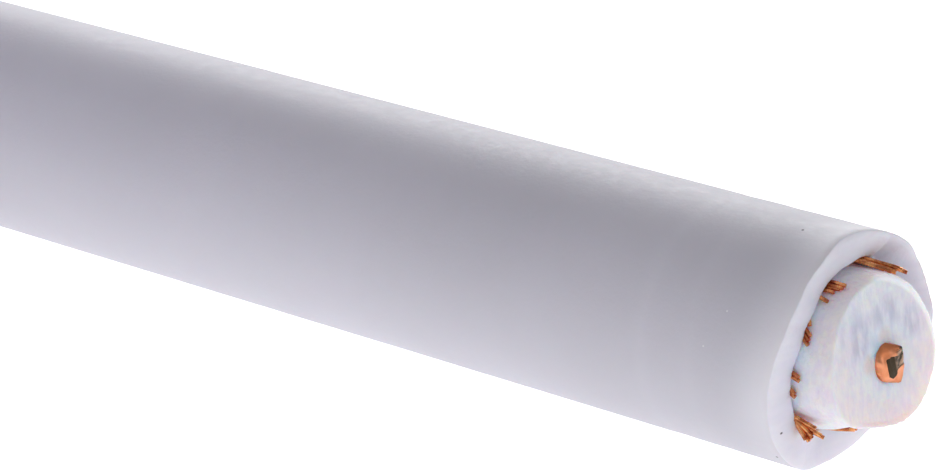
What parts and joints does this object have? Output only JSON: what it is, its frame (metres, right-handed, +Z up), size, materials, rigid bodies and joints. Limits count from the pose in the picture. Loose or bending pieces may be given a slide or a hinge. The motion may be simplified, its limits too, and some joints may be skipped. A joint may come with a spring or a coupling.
{
  "type": "coaxial cable coil",
  "caption": "Flat round coil of white coaxial cable held by ties, its free end cut to show jacket, copper strands, dielectric and solid copper core.",
  "frame": {"origin": "on the coil's axis, at the level of the floor that the ties rest on", "axes": "+Z up along the coil's axis, +X along the free end towards its cut face, +Y from the axis towards the free end"},
  "size_m": [0.1618, 0.1618, 0.044],
  "materials": {
    "jacket": "satin white PVC with a faint grain",
    "dielectric": "translucent white, cut face frosted",
    "copper": "bare copper",
    "tie": "natural nylon"
  },
  "bodies": {
    "root": {"coil": "jacket", "lead_jacket": "jacket", "braid": "copper", "dielectric": "dielectric", "centre_conductor": "copper", "tie_1": "tie", "tie_2": "tie", "tie_3": "tie"}
  },
  "joints": []
}
